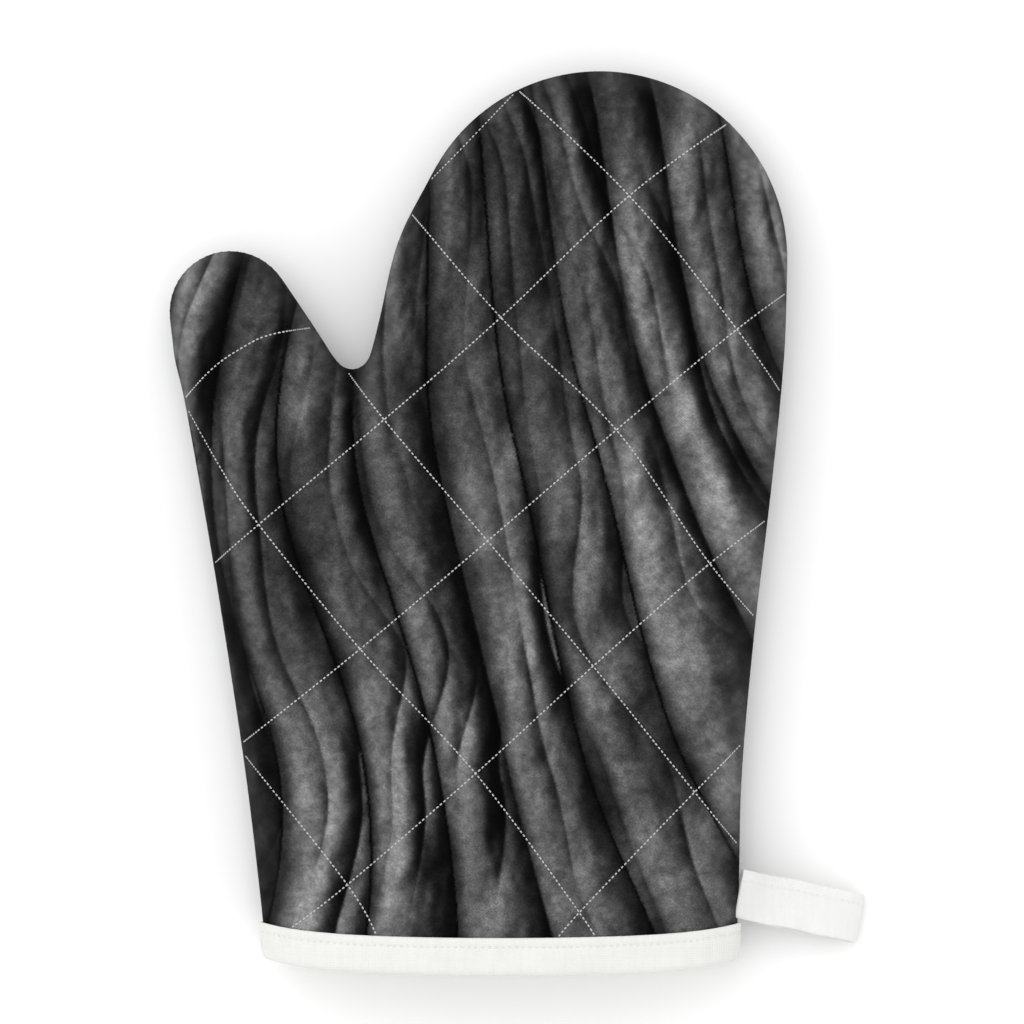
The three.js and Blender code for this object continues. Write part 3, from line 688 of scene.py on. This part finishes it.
def binding_profile():
    """The folded tape's section as (depth, height above the raw edge), round its closed outline."""
    top, low, thick = BINDING_WIDTH - 1.4, -1.35, 0.7
    out, inn = TAPE_DEPTHS
    leg = np.linspace(top, 2.2, 17)
    crease = 0.30 * np.exp(-(((leg - (top - TOPSTITCH_FROM_EDGE)) / 0.7) ** 2))
    crease = crease - 0.16 * np.sin(np.pi * (leg - 2.2) / (top - 2.2))
    turn = np.linspace(0, math.pi, 22)[1:-1]
    mid, half = (out + inn) / 2, (inn - out) / 2
    sup = lambda v, e: np.sign(v) * np.abs(v) ** e
    fold_depth = mid - half * sup(np.cos(turn), 0.55)
    fold = np.column_stack([fold_depth, 2.2 + (low - 2.2) * sup(np.sin(turn), 0.55)])
    down = np.column_stack([out + crease, leg])
    back_up = np.column_stack([inn - crease[::-1], leg[::-1]])
    outer = np.vstack([down, fold, back_up])
    t = tangents(outer)
    inner = outer + thick * np.column_stack([-t[:, 1], t[:, 0]])
    lip = np.array([[0.35 * thick, 0.28]])
    a, b = outer[:1] + lip, outer[-1:] + lip * [-1, 1]
    return np.vstack([a, outer, b, inner[::-1]])


def ring_surface(name, profile, material, ripple=0.0):
    """A closed ring swept round the mouth from a closed section."""
    count = 2 * len(mouth_stations())
    rings = []
    s = np.linspace(0, 2 * math.pi, count, endpoint=False)
    for k, above in profile:
        broad = noise2(s * 9, s * 0 + above * 0.3, 3) - 0.5
        small = noise2(s * 27, s * 0 + above * 0.5, 4) - 0.5
        rings.append(cuff_ring(k + ripple * (broad + 0.5 * small), above))
    points = np.array(rings)
    m = len(profile)
    faces = []
    for j in range(m):
        for i in range(count):
            a, b = (j + 1) % m, (i + 1) % count
            faces.append((j * count + i, j * count + b, a * count + b, a * count + i))
    return make_object(name, points.reshape(-1, 3), faces, material=material)


def topstitch(name, depth, above, material):
    path = cuff_ring(np.full(2 * len(mouth_stations()), depth), above)
    path = np.vstack([path, path[:1]])
    centre = path.mean(0)
    t = np.gradient(path, axis=0)
    normals = np.cross(t, [0.0, 1.0, 0.0])
    normals /= np.linalg.norm(normals, axis=1)[:, None]
    sign = np.sign(((path - centre) * normals).sum(1))[:, None]
    normals = normals * sign * (1 if depth < 3 else -1)
    return stitches(name, path, normals, material, lift=0.02, pitch=2.1)


# --- lining, wadding and seam ---------------------------------------------------------------

def inner_layer(name, side, near, far, spacing, levels, material, fluff):
    """A layer inside the outer fabric, as one closed piece."""
    q, faces, d, n = plan_mesh(spacing, low=0.6, rings=(1.5, 4.0, 8.0, 13.0))
    shape = place(q, d, n, near, side)
    if side < 0:
        faces = [f[::-1] for f in faces]
    v, quads, normal = subdivided(shape, faces, levels)
    far_side = subdivided(place(q, d, n, far, side), faces, levels)[0]
    near_rows, _ = Finder(np.vstack(ROWS))(v)
    dip = (cloudy(v[:, 0] / 9, v[:, 1] / 9, 17, 2) - 0.5) * fluff
    inward = dip + 0.35 * fluff * np.exp(-((near_rows / 1.6) ** 2))
    far_side = far_side + normal * (inward * smooth(d_of(v) / 6))[:, None]
    loop = border_loop(quads)
    base = len(v)
    ahead = loop[1:] + loop[:1]
    wall = [(b, a, base + a, base + b) for a, b in zip(loop, ahead)]
    faces = [*quads.tolist(), *(base + quads[:, ::-1]).tolist(), *wall]
    return make_object(name, np.vstack([v, far_side]), faces, material=material)


def d_of(v):
    """Distance inside the outline, in plan."""
    return edge_frame(v[:, :2])[0]


def seam_stitches(material):
    """The seam between the halves, in the valley along the outline."""
    keep = EDGE[:, 1] > cuff_edge(EDGE[:, 0]) + 11
    line = EDGE[keep] + EDGE_NORMAL[keep] * 0.35
    path = np.column_stack([line, np.full(len(line), SEAM_Z)])
    normals = np.column_stack([-EDGE_NORMAL[keep], np.zeros(len(line))])
    return stitches("side_seam", path, normals, material, lift=0.0, pitch=2.4)


# --- hanging loop ---------------------------------------------------------------------------

def loop_frame():
    """The loop's root, and the matrix that turns it from along +X into place."""
    a, b = math.radians(LOOP_SKEW), math.radians(LOOP_DROOP)
    skew = np.array([[math.cos(a), -math.sin(a), 0], [math.sin(a), math.cos(a), 0], [0, 0, 1]])
    droop = np.array([[math.cos(b), 0, math.sin(b)], [0, 1, 0], [-math.sin(b), 0, math.cos(b)]])
    return ROOT, droop @ skew


def hanging_loop(tape, thread):
    """A flat tape folded back on itself, both ends caught in the side seam."""
    half = [(-1.4, 0.5), (3.2, 0.55), (9, 2.0), (17, 3.5), (25, 4.1), (33, 3.7), (38.2, 2.0), (39.4, 0.0)]
    line = spline(half + [(x, -z) for x, z in half[:-1]][::-1], LOOP_SPACING)
    t = tangents(line)
    out = np.column_stack([-t[:, 1], t[:, 0]])
    width = np.linspace(-LOOP_HALF_WIDTH, LOOP_HALF_WIDTH, 41)
    crease = 0.17 * np.exp(-(((width - 3.7) / 0.35) ** 2))
    step = 0.10 * smooth((width - 3.6) / 0.5)
    edge = 0.42 * np.sqrt(np.maximum(0.0, 1 - (np.abs(width) / 7.66) ** 10))
    root, turn = loop_frame()
    s = np.arange(len(line)) * LOOP_SPACING
    shells = []
    for sign in (1, -1):
        grid = np.empty((len(line), len(width), 3))
        sway = 0.5 * (noise2(s / 9, s * 0, 41) - 0.5)
        for j, w in enumerate(width):
            thick = edge[j] + sign * step[j] - crease[j] * (sign > 0)
            ripple = 0.10 * (noise2(s / 1.3, s * 0 + w / 3, 43) - 0.5)
            ply = line + out * (sign * thick + ripple)[:, None]
            grid[:, j] = np.column_stack([ply[:, 0], np.full(len(line), w) + sway, ply[:, 1]])
        shells.append(grid.reshape(-1, 3))
    points = np.vstack(shells) @ turn.T + root
    rows, cols = len(line), len(width)
    base = rows * cols
    faces = []
    for i in range(rows - 1):
        for j in range(cols - 1):
            a = i * cols + j
            faces.append((a, a + 1, a + cols + 1, a + cols))
            faces.append((base + a, base + a + cols, base + a + cols + 1, base + a + 1))
        a, b = i * cols, (i + 1) * cols
        faces.append((a, b, base + b, base + a))
        a, b = i * cols + cols - 1, (i + 1) * cols + cols - 1
        faces.append((b, a, base + a, base + b))
    for j in range(cols - 1):
        faces.append((j + 1, j, base + j, base + j + 1))
        a = (rows - 1) * cols + j
        faces.append((a, a + 1, base + a + 1, base + a))
    obj = make_object("hanging_loop_tape", points, faces, "loop", tape)
    show(obj, "binding_tape", "hanging_loop")
    top = line[: rows // 2 - 4]
    normals = np.column_stack([out[: len(top), 0], np.zeros(len(top)), out[: len(top), 1]])
    path = np.column_stack([top[:, 0], np.full(len(top), 4.6), top[:, 1]]) + 0.45 * normals
    path, normals = path[4:] @ turn.T + root, normals[4:] @ turn.T
    sewn = stitches("loop_stitching", path, normals, thread, "loop", lift=0.02, pitch=2.1)
    show(sewn, "white_thread", "loop_stitch")
    return obj


# --- materials ------------------------------------------------------------------------------

class Shade:
    """A procedural material's nodes, made and joined by short calls."""

    def __init__(self, name):
        self.material = bpy.data.materials.new(name)
        self.material.use_nodes = True
        self.tree = self.material.node_tree
        self.tree.nodes.clear()
        self.shader = self.node("ShaderNodeBsdfPrincipled")
        out = self.node("ShaderNodeOutputMaterial")
        self.tree.links.new(self.shader.outputs[0], out.inputs[0])
        self.where = self.node("ShaderNodeTexCoord").outputs["Object"]

    def node(self, kind, **settings):
        made = self.tree.nodes.new(kind)
        for key, value in settings.items():
            setattr(made, key, value)
        return made

    def put(self, socket, value):
        if isinstance(value, bpy.types.NodeSocket):
            self.tree.links.new(value, socket)
        else:
            socket.default_value = value

    def maths(self, operation, a, b=0.0, c=0.0):
        made = self.node("ShaderNodeMath", operation=operation)
        for socket, value in zip(made.inputs, (a, b, c)):
            self.put(socket, value)
        return made.outputs[0]

    def noise(self, size, detail=2.0, stretch=(1, 1, 1), rough=0.5):
        """Noise from 0 to 1 whose blotches are about this many millimetres across."""
        mapped = self.node("ShaderNodeMapping")
        self.put(mapped.inputs["Vector"], self.where)
        mapped.inputs["Scale"].default_value = stretch
        made = self.node("ShaderNodeTexNoise")
        self.put(made.inputs["Vector"], mapped.outputs[0])
        made.inputs["Scale"].default_value = 1 / (size * MM)
        made.inputs["Detail"].default_value = detail
        made.inputs["Roughness"].default_value = rough
        return made.outputs["Fac"]

    def bands(self, pitch, direction, wobble=0.6):
        """Threads of a weave, this many millimetres apart, counted along a direction."""
        turned = self.node("ShaderNodeMapping", vector_type="TEXTURE")
        self.put(turned.inputs["Vector"], self.where)
        turned.inputs["Rotation"].default_value = (0, 0, math.radians(direction))
        made = self.node("ShaderNodeTexWave", wave_type="BANDS", bands_direction="X")
        self.put(made.inputs["Vector"], turned.outputs[0])
        made.inputs["Scale"].default_value = math.pi / 10 / (pitch * MM)
        made.inputs["Distortion"].default_value = wobble
        made.inputs["Detail"].default_value = 1.0
        made.inputs["Detail Scale"].default_value = 2.0
        return made.outputs["Fac"]

    def spread(self, value, low, high):
        """A value from 0 to 1 mapped to a range."""
        return self.maths("MULTIPLY_ADD", value, high - low, low)

    def weave(self, pitch, directions=(0, 90)):
        a, b = (self.bands(pitch, d) for d in directions)
        return self.maths("MULTIPLY", self.maths("ADD", a, b), 0.5)

    def grey(self, value, tint=(1.0, 1.0, 1.0)):
        """A colour from a grey level and a tint."""
        made = self.node("ShaderNodeVectorMath", operation="SCALE")
        made.inputs[0].default_value = tint
        self.put(made.inputs["Scale"], value)
        return made.outputs[0]

    def finish(self, colour, height, depth, roughness, sheen, specular=0.2):
        self.put(self.shader.inputs["Base Color"], colour)
        self.put(self.shader.inputs["Roughness"], roughness)
        self.shader.inputs["Specular IOR Level"].default_value = specular
        self.shader.inputs["Sheen Weight"].default_value = sheen
        self.shader.inputs["Sheen Roughness"].default_value = 0.6
        bump = self.node("ShaderNodeBump")
        bump.inputs["Strength"].default_value = 0.7
        bump.inputs["Distance"].default_value = depth * MM
        self.put(bump.inputs["Height"], height)
        self.put(self.shader.inputs["Normal"], bump.outputs[0])
        return self.material


EXPOSE = 0.8  # the light is this much brighter than the white that the greys are given for


def linear(level):
    """The share of light that a grey seen as this level, out of 255, sends back."""
    return EXPOSE * ((level / 255 + 0.055) / 1.055) ** 2.4


def printed_cotton():
    """Greys of the print on a fine twill, a little paler on the raised threads."""
    s = Shade("printed_cotton")
    ink = s.node("ShaderNodeAttribute", attribute_name="ink").outputs["Fac"]
    twill = s.bands(0.62, 52, 1.4)
    weave = s.weave(0.46)
    fibre = s.noise(0.62, 4.0, rough=0.75)
    blotch = s.noise(14.0, 3.0)
    fleck = s.maths("GREATER_THAN", s.noise(0.55, 0.0), 0.70)
    tone = s.maths("MULTIPLY", ink, s.spread(fibre, 0.45, 1.55))
    tone = s.maths("MULTIPLY", tone, s.spread(twill, 0.93, 1.07))
    tone = s.maths("MULTIPLY", tone, s.spread(blotch, 0.93, 1.07))
    tone = s.maths("ADD", tone, s.maths("MULTIPLY", fleck, 0.012))
    grey = s.maths("MULTIPLY", s.maths("POWER", s.maths("MAXIMUM", tone, 0.0), 2.2), EXPOSE)
    height = s.maths("ADD", weave, s.maths("MULTIPLY", s.maths("ADD", twill, fibre), 0.5))
    return s.finish(s.grey(grey), height, 0.10, s.spread(fibre, 0.86, 0.98), 0.01, 0.03)


def plain_cloth(name, level, tint, pitch, depth, variation, sheen, directions=(0, 90)):
    """An undyed woven cloth."""
    s = Shade(name)
    weave = s.weave(pitch, directions)
    fibre = s.noise(pitch * 0.7, 3.0)
    blotch = s.noise(9.0, 3.0)
    streak = s.noise(1.6, 2.0, (1, 0.12, 1))
    tone = s.maths("MULTIPLY", s.spread(weave, 1 - variation, 1 + variation * 0.4), linear(level))
    tone = s.maths("MULTIPLY", tone, s.spread(blotch, 0.95, 1.04))
    tone = s.maths("MULTIPLY", tone, s.spread(streak, 0.95, 1.04))
    tone = s.maths("MULTIPLY", tone, s.spread(fibre, 0.95, 1.04))
    height = s.maths("ADD", weave, s.maths("MULTIPLY", s.maths("ADD", streak, fibre), 0.5))
    return s.finish(s.grey(tone, tint), height, depth, s.spread(fibre, 0.84, 0.96), sheen)


def thread(name, level, tint):
    """Spun thread, with its plies as fine slanting bands."""
    s = Shade(name)
    ply = s.bands(0.30, 20, 0.8)
    fibre = s.noise(0.12, 2.0)
    tone = s.maths("MULTIPLY", s.spread(ply, 0.84, 1.03), linear(level))
    tone = s.maths("MULTIPLY", tone, s.spread(fibre, 0.92, 1.05))
    return s.finish(s.grey(tone, tint), s.maths("ADD", ply, fibre), 0.05, s.spread(fibre, 0.6, 0.8), 0.1)


def batting():
    """Carded cotton wadding: loose matted fibres."""
    s = Shade("batting")
    clump = s.noise(2.6, 4.0, rough=0.7)
    strand = s.noise(0.5, 3.0, (1, 0.2, 1))
    tone = s.maths("MULTIPLY", s.spread(clump, 0.86, 1.06), linear(232))
    height = s.maths("ADD", clump, strand)
    return s.finish(s.grey(tone, (1, 0.985, 0.95)), height, 0.5, s.spread(strand, 0.9, 1.0), 0.3)


def plain_floor():
    """A pale matt floor, very slightly uneven in tone."""
    s = Shade("pale_floor")
    tone = s.spread(s.noise(60.0, 3.0), 0.90, 0.92)
    return s.finish(s.grey(tone), s.noise(0.8, 2.0), 0.02, s.spread(s.noise(5.0), 0.9, 0.95), 0.0)


# --- the mitt -------------------------------------------------------------------------------

def show(obj, slot, *nodes, fill=None):
    """Hides the parts that a piece stands for; slot and fill are not used."""
    if nodes:
        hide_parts(*nodes)
    return obj


INK = paint()
cotton = printed_cotton()
tape = plain_cloth("binding_tape", 244, (1.0, 1.0, 0.965), 0.55, 0.14, 0.07, 0.15)
loop_tape = plain_cloth("loop_tape", 250, (1.0, 1.0, 0.98), 0.5, 0.14, 0.05, 0.15, (-10, 80))
lining = plain_cloth("lining_cotton", 226, (1.0, 0.985, 0.945), 0.6, 0.12, 0.1, 0.1)
white = thread("white_thread", 250, (1, 1, 0.985))
quilting_thread = thread("quilting_thread", 214, (1, 1, 1))
grey_thread = thread("grey_thread", 70, (1, 1, 1))
wadding = batting()

front, front_tree = outer_panel("front_outer", 1, cotton)
show(front, "printed_cotton", "front_outer_panel")
back, back_tree = outer_panel("back_outer", -1, cotton)
show(back, "printed_cotton", "back_outer_panel")
quilt(1, front_tree, quilting_thread)
quilt(-1, back_tree, quilting_thread)

fine = 2
for side, word in ((1, "front"), (-1, "back")):
    padding = inner_layer(word + "_padding", side, *WADDING_DEPTHS, 7.0, fine, wadding, 0.5)
    show(padding, "wadding", word + "_wadding", fill=0.5)
    cloth = inner_layer(word + "_inner_cloth", side, *LINING_DEPTHS, 6.0, fine, lining, 0.4)
    show(cloth, "lining_cotton", word + "_lining", fill=0.2)

binding = ring_surface("cuff_tape", binding_profile(), tape, 0.16)
show(binding, "binding_tape", "cuff_binding", fill=0.3)
top = BINDING_WIDTH - 1.4 - TOPSTITCH_FROM_EDGE
for depth, word in zip(TAPE_DEPTHS, ("outside", "inside")):
    sewn = topstitch("cuff_stitching_" + word, depth, top, white)
    show(sewn, "white_thread", "binding_stitch_" + word)
show(seam_stitches(grey_thread), "grey_thread", "seam_thread")
hanging_loop(loop_tape, white)


# --- floor, light and camera ----------------------------------------------------------------

def floor():
    mesh = bpy.data.meshes.new("floor")
    r = 3.0
    mesh.from_pydata([(-r, -r, 0), (r, -r, 0), (r, r, 0), (-r, r, 0)], [], [(0, 1, 2, 3)])
    obj = bpy.data.objects.new("floor", mesh)
    bpy.context.collection.objects.link(obj)
    mesh.materials.append(plain_floor())
    obj.location.z = -0.0002


def studio():
    """Light that comes evenly from all round, with a broad soft lamp overhead."""
    world = bpy.data.worlds.new("studio")
    world.use_nodes = True
    world.node_tree.nodes["Background"].inputs[0].default_value = (1, 1, 1, 1)
    world.node_tree.nodes["Background"].inputs[1].default_value = 1.12
    bpy.context.scene.world = world
    lamp = bpy.data.lights.new("overhead", "AREA")
    lamp.shape = "DISK"
    lamp.size = 2.2
    lamp.energy = 14.0
    obj = bpy.data.objects.new("overhead", lamp)
    obj.location = (-0.6, 0.7, 1.9)
    obj.rotation_euler = (Vector((0, 0, 0)) - obj.location).to_track_quat("-Z", "Y").to_euler()
    bpy.context.collection.objects.link(obj)
    bpy.context.scene.view_settings.view_transform = "Standard"


def camera():
    """Straight down from above, with the fingertips at the top of the frame."""
    data = bpy.data.cameras.new("camera")
    data.sensor_width = 36
    data.lens = data.sensor_width * VIEW_DISTANCE / FRAME_WIDTH
    obj = bpy.data.objects.new("camera", data)
    obj.location = (-0.00165, 0.00325, SEAM_Z * MM + VIEW_DISTANCE)
    bpy.context.collection.objects.link(obj)
    bpy.context.scene.camera = obj


floor()
studio()
camera()
